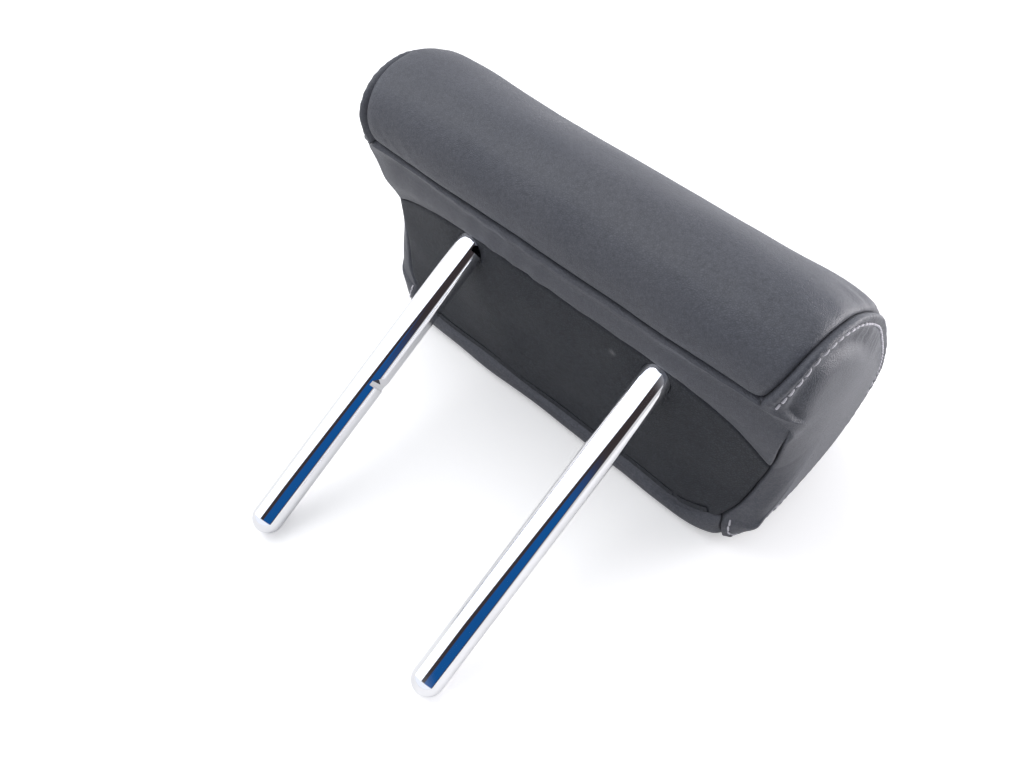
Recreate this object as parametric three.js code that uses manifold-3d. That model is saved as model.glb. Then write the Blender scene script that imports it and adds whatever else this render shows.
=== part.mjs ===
import * as THREE from 'three';
import { mergeVertices } from 'three/addons/utils/BufferGeometryUtils.js';
import Module from 'manifold-3d';

// Headrest of a car's rear seat, upright as it stands in the seat: the two posts point down,
// -Y is the back of the head part, +Y its front, and Z = 0 is the lower end of the posts. All in mm.

// Posts: one round steel rod, bent over inside the head part.
const POST_DIAMETER = 14;
const POST_SPACING = 104;
const POST_TIP_FLAT_RADIUS = 2.6;
const ROD_BEND_RADIUS = 20;
const ROD_TOP_AXIS_Z = 197;
const ROD_SIDES = 24;
const TIP_STEPS = 6;
const BEND_STEPS = 8;

// Latch notches in the inner side of the post at -X: a flat ledge, an upright floor that the seat's
// latch wire lies against, and a ramp above.
const NOTCH_LEDGE_Z = [81.5, 154.5];
const NOTCH_DEPTH = 2.8;
const NOTCH_FLOOR_HEIGHT = 2.2;
const NOTCH_RAMP_HEIGHT = 4.3;

// Cover: padded leather panels sewn together over the foam.
const COVER_THICKNESS = 2.5;
const CLEARANCE = 0.3;
const SIDE_CROWN_X = 113;
const SIDE_RIM_X = 107;
const SIDE_RIM_ROUNDING = 3.5;
const SIDE_CENTRE = { y: 12, z: 182 };
const SIDE_CROWN_POWER = 3;
const WRAP_CROWN = 4.2;
const WRAP_CROWN_POWER = 10;
const WRAP_CROWN_RISE_FRONT = 1 / 7;
const WRAP_CROWN_RISE_LIP = 0.2;
const BASE_CROWN = 1.2;
const POST_DRAW_POWER = 4;

// Decorative stitch line on each side panel, beside the seam of the long panel.
const STITCH_INSET = 5.5;
const STITCH_LENGTH = 3.2;
const STITCH_PITCH = 4.3;
const THREAD_WIDTH = 0.8;
const DIPPED_THREAD_WIDTH = 0.25;

// Carrier: two moulded half shells that clamp the rod, closed with four screws from behind.
const CARRIER_DEPTH = 17;
const CARRIER_BOTTOM_Z = 168;
const CARRIER_OVER_ROD = 4;
const CARRIER_WALL = 2.5;
const CARRIER_RIB_PITCH = 24;
const BOSS_RADIUS = 4;
const BOSS_TO_ROD = 3;
const BOSS_TO_END = 4;
const BOSS_TO_EDGE = 3;
const SCREW_RADIUS = 1.6;
const SCREW_HEAD_RADIUS = 3;
const SCREW_HEAD_HEIGHT = 2;
const SCREW_LENGTH = 24;
const SCREW_SIDES = 16;

// Two plastic strips of J section, hooked into each other, that close the cover behind the lower
// seam of the base panel.
const STRIP_HALF_LENGTH = 60;
const STRIP_THICKNESS = 1.2;
const STRIP_WIDTH = 9;
const STRIP_TO_SEAM = 6;
const STRIP_SINK = 0.2;

const POST_RADIUS = POST_DIAMETER / 2;
const BOSS_X = POST_SPACING / 2 + POST_RADIUS + BOSS_TO_ROD + BOSS_RADIUS;
const CARRIER_HALF_WIDTH = BOSS_X + BOSS_RADIUS + BOSS_TO_END;
const CARRIER_TOP_Z = ROD_TOP_AXIS_Z + POST_RADIUS + CARRIER_OVER_ROD;
const BOSS_EDGE = BOSS_TO_EDGE + BOSS_RADIUS;
const BOSS_Z = [CARRIER_BOTTOM_Z + BOSS_EDGE, CARRIER_TOP_Z - BOSS_EDGE];
const FOAM_OFFSET = COVER_THICKNESS + CLEARANCE;
const STRIP_SLOT = STRIP_THICKNESS + 2 * CLEARANCE;
const STRIP_HOOK = STRIP_THICKNESS + STRIP_SLOT;

// Side seam of the long panel, from the base panel's lower seam over the front, the top and the
// back to the seam with the lip: (half width, y, z).
const WRAP_SEAM = [
  [92, 60, 122.6],
  [95, 63, 119.8],
  [99, 67.5, 119.3],
  [103, 72.5, 124],
  [105.5, 81, 141],
  [106.5, 90, 162],
  [107, 95, 184],
  [107, 92, 204],
  [107, 78, 219.5],
  [107, 50, 224.5],
  [107, 12, 222.5],
  [107, -15, 217.6],
  [107, -38, 208.8],
  [107, -52, 197],
  [106, -57, 185],
  [103, -52, 172.5],
  [98, -39, 164.3],
];

// Lip under the back roll: its line at the side seam, and at mid width where the posts draw it in.
const LIP_SEAM = [
  [98, -39, 164.3],
  [104.5, -32, 164.4],
  [108.5, -22, 163.4],
  [107.5, -6, 160.2],
  [105, 10, 156],
];
const LIP_MIDDLE = [
  [98, -39, 164.3],
  [104.5, -34.5, 161.2],
  [108.5, -28, 160.2],
  [107.5, -18, 160.2],
  [105, -9.5, 159.3],
];

// Base panel with the post holes, sloping down to the front.
const BASE_SEAM = [
  [105, 10, 156],
  [104.2, 19, 151.2],
  [103.2, 27, 146.4],
  [102.2, 34, 141.6],
  [99, 46, 132],
  [92, 60, 122.6],
];
const BASE_MIDDLE = [
  [105, -9.5, 159.3],
  [104.2, 4, 152],
  [103.2, 18, 144.6],
  [102.2, 32, 137.2],
  [99, 46, 129.9],
  [92, 60, 122.6],
];

const WRAP_ROWS = 40;
const LIP_ROWS = 6;
const BASE_ROWS = 8;
const HALF_COLUMNS = [0, 0.25, 0.5, 0.7, 0.84, 0.92, 0.965, 1];
const SIDE_RING_INSETS = [3.4, 9, 18];
const SIDE_INNER_RINGS = [0.55, 0.25, 0];
const LARGEST_INSET_SHARE = 0.55;
const MITRE_DAMPING = 0.02;
const MITRE_LIMIT = 1.6;
const WELD_DISTANCE = 1e-4;

const wasm = await Module();
wasm.setup();

function material(color, roughness, metalness) {
  return new THREE.MeshStandardMaterial({ color, roughness, metalness });
}

function unshared(geometry) {
  const bare = new THREE.BufferGeometry();
  const source = geometry.index ? geometry.toNonIndexed() : geometry;
  bare.setAttribute('position', source.getAttribute('position'));
  return bare;
}

function solid(geometry) {
  const welded = mergeVertices(unshared(geometry), WELD_DISTANCE);
  const mesh = new wasm.Mesh({
    numProp: 3,
    vertProperties: new Float32Array(welded.getAttribute('position').array),
    triVerts: new Uint32Array(welded.getIndex().array),
  });
  return new wasm.Manifold(mesh);
}

function geometryOf(manifold) {
  const mesh = manifold.getMesh();
  const geometry = new THREE.BufferGeometry();
  geometry.setAttribute('position', new THREE.BufferAttribute(mesh.vertProperties.slice(), 3));
  geometry.setIndex(new THREE.BufferAttribute(mesh.triVerts.slice(), 1));
  return geometry;
}

function curveThrough(points) {
  return new THREE.CatmullRomCurve3(points.map((p) => new THREE.Vector3(...p)), false, 'centripetal');
}

function box(xMin, xMax, yMin, yMax, zMin, zMax) {
  const geometry = new THREE.BoxGeometry(xMax - xMin, yMax - yMin, zMax - zMin);
  geometry.translate((xMin + xMax) / 2, (yMin + yMax) / 2, (zMin + zMax) / 2);
  return solid(geometry);
}

function cylinderAlongY(radius, yMin, yMax, x, z, sides) {
  const geometry = new THREE.CylinderGeometry(radius, radius, yMax - yMin, sides);
  geometry.translate(x, (yMin + yMax) / 2, z);
  return solid(geometry);
}

function cylinderAlongZ(radius, zMin, zMax, x, sides) {
  const geometry = new THREE.CylinderGeometry(radius, radius, zMax - zMin, sides);
  geometry.rotateX(Math.PI / 2);
  geometry.translate(x, 0, (zMin + zMax) / 2);
  return solid(geometry);
}

// The cushion's outer skin: rows run round the section, columns across the width.
const COLUMNS = [...HALF_COLUMNS.slice(1).reverse().map((t) => -t), ...HALF_COLUMNS];
const ROW_COUNT = WRAP_ROWS + LIP_ROWS + BASE_ROWS;
const LIP_START = WRAP_ROWS;
const BASE_START = WRAP_ROWS + LIP_ROWS;

const wrapSeam = curveThrough(WRAP_SEAM);
const lipSeam = curveThrough(LIP_SEAM);
const lipMiddle = curveThrough(LIP_MIDDLE);
const baseSeam = curveThrough(BASE_SEAM);
const baseMiddle = curveThrough(BASE_MIDDLE);

// The base panel's run at mid width in the Y Z plane, from the lip to its lower seam.
const [, BASE_REAR_Y, BASE_REAR_Z] = BASE_MIDDLE[0];
const [, BASE_FRONT_Y, BASE_FRONT_Z] = BASE_MIDDLE[BASE_MIDDLE.length - 1];
const BASE_ALONG = new THREE.Vector2(BASE_FRONT_Y - BASE_REAR_Y, BASE_FRONT_Z - BASE_REAR_Z).normalize();
const BASE_INWARDS = new THREE.Vector2(-BASE_ALONG.y, BASE_ALONG.x);

function wrapPoint(u, t) {
  const edge = wrapSeam.getPointAt(u);
  const along = wrapSeam.getTangentAt(u);
  const outward = new THREE.Vector2(along.z, -along.y).normalize();
  const rise = Math.min(1, u / WRAP_CROWN_RISE_FRONT, (1 - u) / WRAP_CROWN_RISE_LIP);
  const crown = WRAP_CROWN * rise * (1 - Math.abs(t) ** WRAP_CROWN_POWER);
  return new THREE.Vector3(edge.x * t, edge.y + outward.x * crown, edge.z + outward.y * crown);
}

function blendedPoint(middle, seam, u, t, crown) {
  const edge = seam.getPoint(u);
  const point = middle.getPoint(u).lerp(edge, Math.abs(t) ** POST_DRAW_POWER);
  const swell = crown * Math.sin(Math.PI * u) * (1 - t * t);
  return new THREE.Vector3(edge.x * t, point.y - swell * BASE_INWARDS.x, point.z - swell * BASE_INWARDS.y);
}

function skinPoint(row, t) {
  if (row < LIP_START) {
    return wrapPoint(row / WRAP_ROWS, t);
  }
  if (row < BASE_START) {
    return blendedPoint(lipMiddle, lipSeam, (row - LIP_START) / LIP_ROWS, t, 0);
  }
  return blendedPoint(baseMiddle, baseSeam, (row - BASE_START) / BASE_ROWS, t, BASE_CROWN);
}

function reachOf(edge) {
  return Math.hypot(edge.y - SIDE_CENTRE.y, edge.z - SIDE_CENTRE.z);
}

function sidePoint(edge, share) {
  const sign = Math.sign(edge.x);
  const seamX = Math.abs(edge.x);
  const depth = reachOf(edge) * (1 - share);
  const rim = Math.max(0, SIDE_RIM_X - seamX) * (1 - Math.exp(-depth / SIDE_RIM_ROUNDING));
  const crown = (SIDE_CROWN_X - Math.max(SIDE_RIM_X, seamX)) * (1 - share ** SIDE_CROWN_POWER);
  const x = seamX + rim + crown;
  return new THREE.Vector3(
    sign * x,
    SIDE_CENTRE.y + (edge.y - SIDE_CENTRE.y) * share,
    SIDE_CENTRE.z + (edge.z - SIDE_CENTRE.z) * share,
  );
}

// Rings of the side panels, from the seam to the middle, as shares of the reach to the seam.
const insetShare = (inset) => (reach) => 1 - Math.min(inset, reach * LARGEST_INSET_SHARE) / reach;
const lastInset = insetShare(SIDE_RING_INSETS[SIDE_RING_INSETS.length - 1]);
const SIDE_RINGS = [
  ...SIDE_RING_INSETS.map(insetShare),
  ...SIDE_INNER_RINGS.map((part) => (reach) => lastInset(reach) * part),
];

// Vertices and faces of the whole skin; every face knows its panel.
const skin = [];
const faces = [];
const grid = [];
for (let row = 0; row < ROW_COUNT; row += 1) {
  grid.push(COLUMNS.map((t) => skin.push(skinPoint(row, t)) - 1));
}

function panelOfRow(row) {
  if (row < LIP_START) return 'wrap';
  return row < BASE_START ? 'lip' : 'base';
}

function addQuad(panel, a, b, c, d) {
  faces.push({ panel, ids: [a, c, b] }, { panel, ids: [a, d, c] });
}

for (let row = 0; row < ROW_COUNT; row += 1) {
  const here = grid[row];
  const next = grid[(row + 1) % ROW_COUNT];
  for (let col = 0; col + 1 < COLUMNS.length; col += 1) {
    addQuad(panelOfRow(row), here[col], here[col + 1], next[col + 1], next[col]);
  }
}

for (const [name, column] of [['left', 0], ['right', COLUMNS.length - 1]]) {
  let outer = grid.map((ids) => ids[column]);
  const seam = outer.map((id) => skin[id]);
  for (const shareOf of SIDE_RINGS) {
    const isCentre = shareOf === SIDE_RINGS[SIDE_RINGS.length - 1];
    const inner = isCentre
      ? new Array(ROW_COUNT).fill(skin.push(sidePoint(seam[0], 0)) - 1)
      : seam.map((edge) => skin.push(sidePoint(edge, shareOf(reachOf(edge)))) - 1);
    for (let row = 0; row < ROW_COUNT; row += 1) {
      const next = (row + 1) % ROW_COUNT;
      const loop = name === 'right'
        ? [outer[row], inner[row], inner[next], outer[next]]
        : [outer[row], outer[next], inner[next], inner[row]];
      if (!isCentre) {
        addQuad(name, ...loop);
      } else if (name === 'right') {
        faces.push({ panel: name, ids: [outer[row], outer[next], inner[row]] });
      } else {
        faces.push({ panel: name, ids: [outer[row], inner[row], outer[next]] });
      }
    }
    outer = inner;
  }
}

// Mitred inward direction of each vertex: one step along it sinks every face round it by 1 mm.
function inwardDirections() {
  const sums = skin.map(() => ({ m: new Array(9).fill(0), b: new THREE.Vector3() }));
  for (const { ids } of faces) {
    const [a, b, c] = ids.map((id) => skin[id]);
    const normal = b.clone().sub(a).cross(c.clone().sub(a)).normalize();
    const n = normal.toArray();
    for (const id of ids) {
      for (let i = 0; i < 3; i += 1) {
        for (let k = 0; k < 3; k += 1) {
          sums[id].m[3 * i + k] += n[i] * n[k];
        }
      }
      sums[id].b.sub(normal);
    }
  }
  return sums.map(({ m, b }) => {
    const damping = MITRE_DAMPING * (m[0] + m[4] + m[8]);
    const matrix = new THREE.Matrix3().set(...m);
    matrix.elements[0] += damping;
    matrix.elements[4] += damping;
    matrix.elements[8] += damping;
    const step = b.clone().applyMatrix3(matrix.invert());
    return step.multiplyScalar(Math.min(1, MITRE_LIMIT / step.length()));
  });
}
const inward = inwardDirections();

function sunk(id, depth) {
  return skin[id].clone().addScaledVector(inward[id], depth);
}

function triangles(points) {
  const geometry = new THREE.BufferGeometry();
  geometry.setAttribute('position', new THREE.Float32BufferAttribute(points.flatMap((p) => p.toArray()), 3));
  return geometry;
}

function sunkBody(depth) {
  return solid(triangles(faces.flatMap(({ ids }) => ids.map((id) => sunk(id, depth)))));
}

// One cover panel: its outer faces, the same faces sunk by the thickness, and the cut edge.
function coverPanel(panel) {
  const own = faces.filter((face) => face.panel === panel);
  const edges = new Map();
  for (const { ids } of own) {
    for (let i = 0; i < 3; i += 1) {
      edges.set(`${ids[i]}_${ids[(i + 1) % 3]}`, [ids[i], ids[(i + 1) % 3]]);
    }
  }
  const rim = [...edges.values()].filter(([a, b]) => !edges.has(`${b}_${a}`));
  const onRim = new Set(rim.flat());
  const pull = new Map([...onRim].map((id) => [id, new THREE.Vector3()]));
  for (const [a, b] of rim) {
    const face = own.find(({ ids }) => ids.includes(a) && ids.includes(b)
      && ids[(ids.indexOf(a) + 1) % 3] === b);
    const third = skin[face.ids.find((id) => id !== a && id !== b)];
    const side = skin[b].clone().sub(skin[a]).normalize();
    const inside = third.clone().sub(skin[a]);
    inside.addScaledVector(side, -inside.dot(side)).normalize();
    pull.get(a).add(inside);
    pull.get(b).add(inside);
  }
  const place = (id, depth) => {
    const point = sunk(id, depth);
    if (onRim.has(id)) {
      point.addScaledVector(pull.get(id).clone().normalize(), CLEARANCE / 2);
    }
    return point;
  };
  const points = [];
  for (const { ids: [a, b, c] } of own) {
    points.push(place(a, 0), place(b, 0), place(c, 0));
    points.push(place(a, COVER_THICKNESS), place(c, COVER_THICKNESS), place(b, COVER_THICKNESS));
  }
  for (const [a, b] of rim) {
    const low = place(a, COVER_THICKNESS);
    const far = place(b, COVER_THICKNESS);
    if (a < b) {
      points.push(place(a, 0), far, place(b, 0), place(a, 0), low, far);
    } else {
      points.push(place(a, 0), low, place(b, 0), place(b, 0), low, far);
    }
  }
  return solid(triangles(points));
}

// Closed skin over a row of rings with equal point counts.
function sweptRings(rings) {
  const points = [];
  const sides = rings[0].length;
  for (let r = 0; r + 1 < rings.length; r += 1) {
    for (let i = 0; i < sides; i += 1) {
      const k = (i + 1) % sides;
      points.push(rings[r][i], rings[r][k], rings[r + 1][k]);
      points.push(rings[r][i], rings[r + 1][k], rings[r + 1][i]);
    }
  }
  const last = rings[rings.length - 1];
  for (let i = 1; i + 1 < sides; i += 1) {
    points.push(rings[0][0], rings[0][i + 1], rings[0][i]);
    points.push(last[0], last[i], last[i + 1]);
  }
  return triangles(points);
}

// Rod: rings of one section carried along the centre line, with rounded ends.
function rodBody(radius, withTips) {
  const rings = [];
  const addRing = (x, z, angle, size) => {
    const ring = [];
    for (let i = 0; i < ROD_SIDES; i += 1) {
      const a = (2 * Math.PI * i) / ROD_SIDES;
      const across = size * Math.cos(a);
      ring.push(new THREE.Vector3(
        x + across * Math.cos(angle),
        size * Math.sin(a),
        z + across * Math.sin(angle),
      ));
    }
    rings.push(ring);
  };
  const legX = POST_SPACING / 2;
  const bendX = legX - ROD_BEND_RADIUS;
  const bendZ = ROD_TOP_AXIS_Z - ROD_BEND_RADIUS;
  const tipAngles = [];
  const firstAngle = Math.asin(POST_TIP_FLAT_RADIUS / POST_RADIUS);
  for (let i = 0; i <= TIP_STEPS; i += 1) {
    tipAngles.push(firstAngle + ((Math.PI / 2 - firstAngle) * i) / TIP_STEPS);
  }
  const tipDepth = POST_RADIUS * Math.cos(firstAngle);
  const tipZ = (a) => tipDepth - POST_RADIUS * Math.cos(a);
  if (withTips) {
    tipAngles.forEach((a) => addRing(-legX, tipZ(a), 0, radius * Math.sin(a)));
  } else {
    addRing(-legX, CARRIER_BOTTOM_Z - CARRIER_WALL, 0, radius);
  }
  for (let i = 0; i <= BEND_STEPS; i += 1) {
    const a = (Math.PI / 2) * (i / BEND_STEPS);
    addRing(-bendX - ROD_BEND_RADIUS * Math.cos(a), bendZ + ROD_BEND_RADIUS * Math.sin(a), -a, radius);
  }
  for (let i = BEND_STEPS; i >= 0; i -= 1) {
    const a = (Math.PI / 2) * (i / BEND_STEPS);
    addRing(bendX + ROD_BEND_RADIUS * Math.cos(a), bendZ + ROD_BEND_RADIUS * Math.sin(a), a - Math.PI,
      radius);
  }
  if (withTips) {
    [...tipAngles].reverse().forEach((a) => addRing(legX, tipZ(a), -Math.PI, radius * Math.sin(a)));
  } else {
    addRing(legX, CARRIER_BOTTOM_Z - CARRIER_WALL, -Math.PI, radius);
  }
  return solid(sweptRings(rings));
}

function notchCutter(ledgeZ) {
  const wall = -POST_SPACING / 2 + POST_RADIUS;
  const floor = wall - NOTCH_DEPTH;
  const outline = new THREE.Shape([
    new THREE.Vector2(floor, ledgeZ),
    new THREE.Vector2(wall + NOTCH_DEPTH, ledgeZ),
    new THREE.Vector2(wall + NOTCH_DEPTH, ledgeZ + NOTCH_FLOOR_HEIGHT + 2 * NOTCH_RAMP_HEIGHT),
    new THREE.Vector2(floor, ledgeZ + NOTCH_FLOOR_HEIGHT),
  ]);
  const geometry = new THREE.ExtrudeGeometry(outline, { depth: POST_DIAMETER, bevelEnabled: false });
  geometry.rotateX(Math.PI / 2);
  geometry.translate(0, POST_RADIUS, 0);
  return solid(geometry);
}

// Half shell of the carrier: side -1 is the rear one, side 1 the front one.
function carrierHalf(side) {
  const slab = (xMin, xMax, near, far, zMin, zMax) => (
    box(xMin, xMax, Math.min(side * near, side * far), Math.max(side * near, side * far), zMin, zMax)
  );
  const split = CLEARANCE / 2;
  const inner = CARRIER_HALF_WIDTH - CARRIER_WALL;
  const reach = CARRIER_DEPTH - CARRIER_WALL / 2;
  let half = slab(-CARRIER_HALF_WIDTH, CARRIER_HALF_WIDTH, split, CARRIER_DEPTH,
    CARRIER_BOTTOM_Z, CARRIER_TOP_Z);
  half = half.subtract(slab(-inner, inner, 0, CARRIER_DEPTH - CARRIER_WALL,
    CARRIER_BOTTOM_Z + CARRIER_WALL, CARRIER_TOP_Z - CARRIER_WALL));
  for (const x of [-CARRIER_RIB_PITCH, 0, CARRIER_RIB_PITCH]) {
    half = half.add(slab(x - CARRIER_WALL / 2, x + CARRIER_WALL / 2, split, reach,
      CARRIER_BOTTOM_Z + CARRIER_WALL / 2, CARRIER_TOP_Z - CARRIER_WALL / 2));
  }
  for (const x of [-BOSS_X, BOSS_X]) {
    for (const z of BOSS_Z) {
      const near = side < 0 ? -reach : split;
      const far = side < 0 ? -split : reach;
      half = half.add(cylinderAlongY(BOSS_RADIUS, near, far, x, z, SCREW_SIDES));
    }
  }
  return half.subtract(rodBody(POST_RADIUS + CLEARANCE, false));
}

function screwAt(x, z, play) {
  const seat = -CARRIER_DEPTH + SCREW_HEAD_HEIGHT;
  const shankStart = seat - SCREW_HEAD_HEIGHT / 2;
  const shankEnd = seat + SCREW_LENGTH + play;
  const shank = cylinderAlongY(SCREW_RADIUS + play, shankStart, shankEnd, x, z, SCREW_SIDES);
  const head = cylinderAlongY(SCREW_HEAD_RADIUS + play, -CARRIER_DEPTH - play, seat + play, x, z,
    SCREW_SIDES);
  return shank.add(head);
}

const SCREW_PLACES = [
  ['lower_left', -BOSS_X, BOSS_Z[0]],
  ['upper_left', -BOSS_X, BOSS_Z[1]],
  ['lower_right', BOSS_X, BOSS_Z[0]],
  ['upper_right', BOSS_X, BOSS_Z[1]],
];

// Closing strips, in their own plane: a runs along the base panel to its lower seam, b inwards.
const STRIP_PAIR_LENGTH = 2 * (STRIP_WIDTH - STRIP_THICKNESS) - STRIP_HOOK - CLEARANCE;
const STRIP_PAIR_HEIGHT = STRIP_HOOK + 2 * STRIP_THICKNESS + CLEARANCE;

function alongX(outline, halfLength) {
  const shape = new THREE.Shape(outline.map(([a, b]) => (
    new THREE.Vector2(BASE_FRONT_Y, BASE_FRONT_Z)
      .addScaledVector(BASE_ALONG, a - STRIP_PAIR_LENGTH - STRIP_TO_SEAM)
      .addScaledVector(BASE_INWARDS, b + FOAM_OFFSET + STRIP_SINK)
  )));
  const geometry = new THREE.ExtrudeGeometry(shape, { depth: 2 * halfLength, bevelEnabled: false });
  geometry.translate(0, 0, -halfLength);
  geometry.applyMatrix4(new THREE.Matrix4().makeBasis(
    new THREE.Vector3(0, 1, 0),
    new THREE.Vector3(0, 0, 1),
    new THREE.Vector3(1, 0, 0),
  ));
  return geometry;
}

const STRIP_OUTLINE = [
  [0, 0],
  [STRIP_WIDTH, 0],
  [STRIP_WIDTH, STRIP_HOOK + STRIP_THICKNESS],
  [STRIP_WIDTH - STRIP_THICKNESS - STRIP_HOOK, STRIP_HOOK + STRIP_THICKNESS],
  [STRIP_WIDTH - STRIP_THICKNESS - STRIP_HOOK, STRIP_HOOK],
  [STRIP_WIDTH - STRIP_THICKNESS, STRIP_HOOK],
  [STRIP_WIDTH - STRIP_THICKNESS, STRIP_THICKNESS],
  [0, STRIP_THICKNESS],
];
const HOOKED_OUTLINE = STRIP_OUTLINE.map(([a, b]) => [STRIP_PAIR_LENGTH - a, STRIP_PAIR_HEIGHT - b]);
const STRIP_GROOVE = [
  [-CLEARANCE, -FOAM_OFFSET],
  [STRIP_PAIR_LENGTH + CLEARANCE, -FOAM_OFFSET],
  [STRIP_PAIR_LENGTH + CLEARANCE, STRIP_PAIR_HEIGHT + CLEARANCE],
  [-CLEARANCE, STRIP_PAIR_HEIGHT + CLEARANCE],
];

// Topstitch: one thread that lies on the side panel beside its seam and thins where it dips.
function stitchRow(column) {
  const line = [];
  for (let row = 0; row < LIP_START; row += 1) {
    const edge = skin[grid[row][column]];
    const nextEdge = skin[grid[row + 1][column]];
    const share = insetShare(STITCH_INSET)(reachOf(edge));
    const point = sidePoint(edge, share);
    const along = sidePoint(nextEdge, share).sub(point);
    const inwards = sidePoint(edge, insetShare(STITCH_INSET + THREAD_WIDTH)(reachOf(edge))).sub(point);
    const normal = along.cross(inwards).normalize();
    normal.multiplyScalar(Math.sign(edge.x * normal.x));
    line.push(point.addScaledVector(normal, CLEARANCE + THREAD_WIDTH * Math.SQRT1_2));
  }
  const path = new THREE.CatmullRomCurve3(line, false, 'centripetal');
  const length = path.getLength();
  const count = Math.floor(length / STITCH_PITCH) - 1;
  const rings = [];
  const addRing = (at, width) => {
    const centre = path.getPointAt(at / length);
    const forward = path.getTangentAt(at / length);
    const upright = forward.clone().cross(new THREE.Vector3(1, 0, 0)).normalize();
    const flat = upright.clone().cross(forward);
    rings.push([[1, 1], [-1, 1], [-1, -1], [1, -1]].map(([p, q]) => (
      centre.clone().addScaledVector(flat, (p * width) / 2).addScaledVector(upright, (q * width) / 2)
    )));
  };
  for (let i = 0; i < count; i += 1) {
    const start = (i + 0.5) * STITCH_PITCH;
    addRing(start, THREAD_WIDTH);
    addRing(start + STITCH_LENGTH, THREAD_WIDTH);
    if (i + 1 < count) {
      addRing(start + (STITCH_LENGTH + STITCH_PITCH) / 2, DIPPED_THREAD_WIDTH);
    }
  }
  return sweptRings(rings);
}

const group = new THREE.Group();
group.name = 'headrest';

function addNode(name, geometry, look) {
  const bare = unshared(geometry);
  bare.computeVertexNormals();
  const mesh = new THREE.Mesh(bare, look);
  mesh.name = name;
  group.add(mesh);
  return mesh;
}

const leather = () => material(0x2b2d31, 0.5, 0);
const blackPlastic = () => material(0x1d1d1f, 0.6, 0);

addNode('wrap_panel', geometryOf(coverPanel('wrap')), leather());
addNode('lip_panel', geometryOf(coverPanel('lip')), leather());
addNode('side_panel_left', geometryOf(coverPanel('left')), leather());
addNode('side_panel_right', geometryOf(coverPanel('right')), leather());

let basePanel = coverPanel('base');
let foam = sunkBody(FOAM_OFFSET);
for (const x of [-POST_SPACING / 2, POST_SPACING / 2]) {
  const hole = cylinderAlongZ(POST_RADIUS + CLEARANCE, 0, CARRIER_BOTTOM_Z, x, ROD_SIDES);
  basePanel = basePanel.subtract(hole);
  foam = foam.subtract(hole);
}
addNode('base_panel', geometryOf(basePanel), material(0x25272b, 0.6, 0));

foam = foam.subtract(box(
  -CARRIER_HALF_WIDTH - CLEARANCE, CARRIER_HALF_WIDTH + CLEARANCE,
  -CARRIER_DEPTH - CLEARANCE, CARRIER_DEPTH + CLEARANCE,
  CARRIER_BOTTOM_Z - CLEARANCE, CARRIER_TOP_Z + CLEARANCE,
));
foam = foam.subtract(solid(alongX(STRIP_GROOVE, STRIP_HALF_LENGTH + CLEARANCE)));
addNode('foam_pad', geometryOf(foam), material(0xd8cfae, 0.9, 0));

let rod = rodBody(POST_RADIUS, true);
for (const ledgeZ of NOTCH_LEDGE_Z) {
  rod = rod.subtract(notchCutter(ledgeZ));
}
addNode('post_rod', geometryOf(rod), material(0xd9dbde, 0.06, 1));

let carrierRear = carrierHalf(-1);
let carrierFront = carrierHalf(1);
for (const [place, x, z] of SCREW_PLACES) {
  carrierRear = carrierRear.subtract(screwAt(x, z, CLEARANCE));
  carrierFront = carrierFront.subtract(screwAt(x, z, CLEARANCE));
  addNode(`carrier_screw_${place}`, geometryOf(screwAt(x, z, 0)), material(0x9a9ca0, 0.35, 1));
}
addNode('carrier_rear', geometryOf(carrierRear), blackPlastic());
addNode('carrier_front', geometryOf(carrierFront), blackPlastic());

addNode('closing_strip_base', alongX(STRIP_OUTLINE, STRIP_HALF_LENGTH), blackPlastic());
addNode('closing_strip_wrap', alongX(HOOKED_OUTLINE, STRIP_HALF_LENGTH), blackPlastic());
addNode('topstitch_left', stitchRow(0), material(0x9b9da3, 0.8, 0));
addNode('topstitch_right', stitchRow(COLUMNS.length - 1), material(0x9b9da3, 0.8, 0));

export default group;
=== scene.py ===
import math

import bpy
import numpy as np
from mathutils import Matrix, Vector


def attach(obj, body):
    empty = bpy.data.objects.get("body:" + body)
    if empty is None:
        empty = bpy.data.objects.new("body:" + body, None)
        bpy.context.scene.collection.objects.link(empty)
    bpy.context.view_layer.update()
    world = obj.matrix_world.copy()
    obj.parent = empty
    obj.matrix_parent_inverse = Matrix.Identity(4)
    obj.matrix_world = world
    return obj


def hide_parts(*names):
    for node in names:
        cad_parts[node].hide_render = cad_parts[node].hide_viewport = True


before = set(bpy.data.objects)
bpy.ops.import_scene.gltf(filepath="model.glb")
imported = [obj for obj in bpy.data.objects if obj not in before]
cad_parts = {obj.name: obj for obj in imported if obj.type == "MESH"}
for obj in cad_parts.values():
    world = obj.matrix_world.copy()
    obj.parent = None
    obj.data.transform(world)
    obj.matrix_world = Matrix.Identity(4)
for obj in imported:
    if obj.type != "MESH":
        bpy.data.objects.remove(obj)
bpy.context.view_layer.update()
bpy.ops.object.select_all(action="DESELECT")


# Rod: one length of round steel bar, 14 mm thick, bent twice into a U, polished and chromed.
# Its free ends are domed. Two notches milled into the inner side of one leg take the spring wire
# of the seat's sleeve, which holds the headrest at its height.
ROD_RADIUS = 0.007
ROD_LEG_X = 0.052
ROD_BEND_RADIUS = 0.020
ROD_TOP_Z = 0.197
ROD_TIP_FLAT = 0.0026
NOTCH_LEDGES = (0.0815, 0.1545)
NOTCH_DEPTH = 0.0028
NOTCH_FLOOR = 0.0022
NOTCH_RAMP = 0.0043


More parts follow.
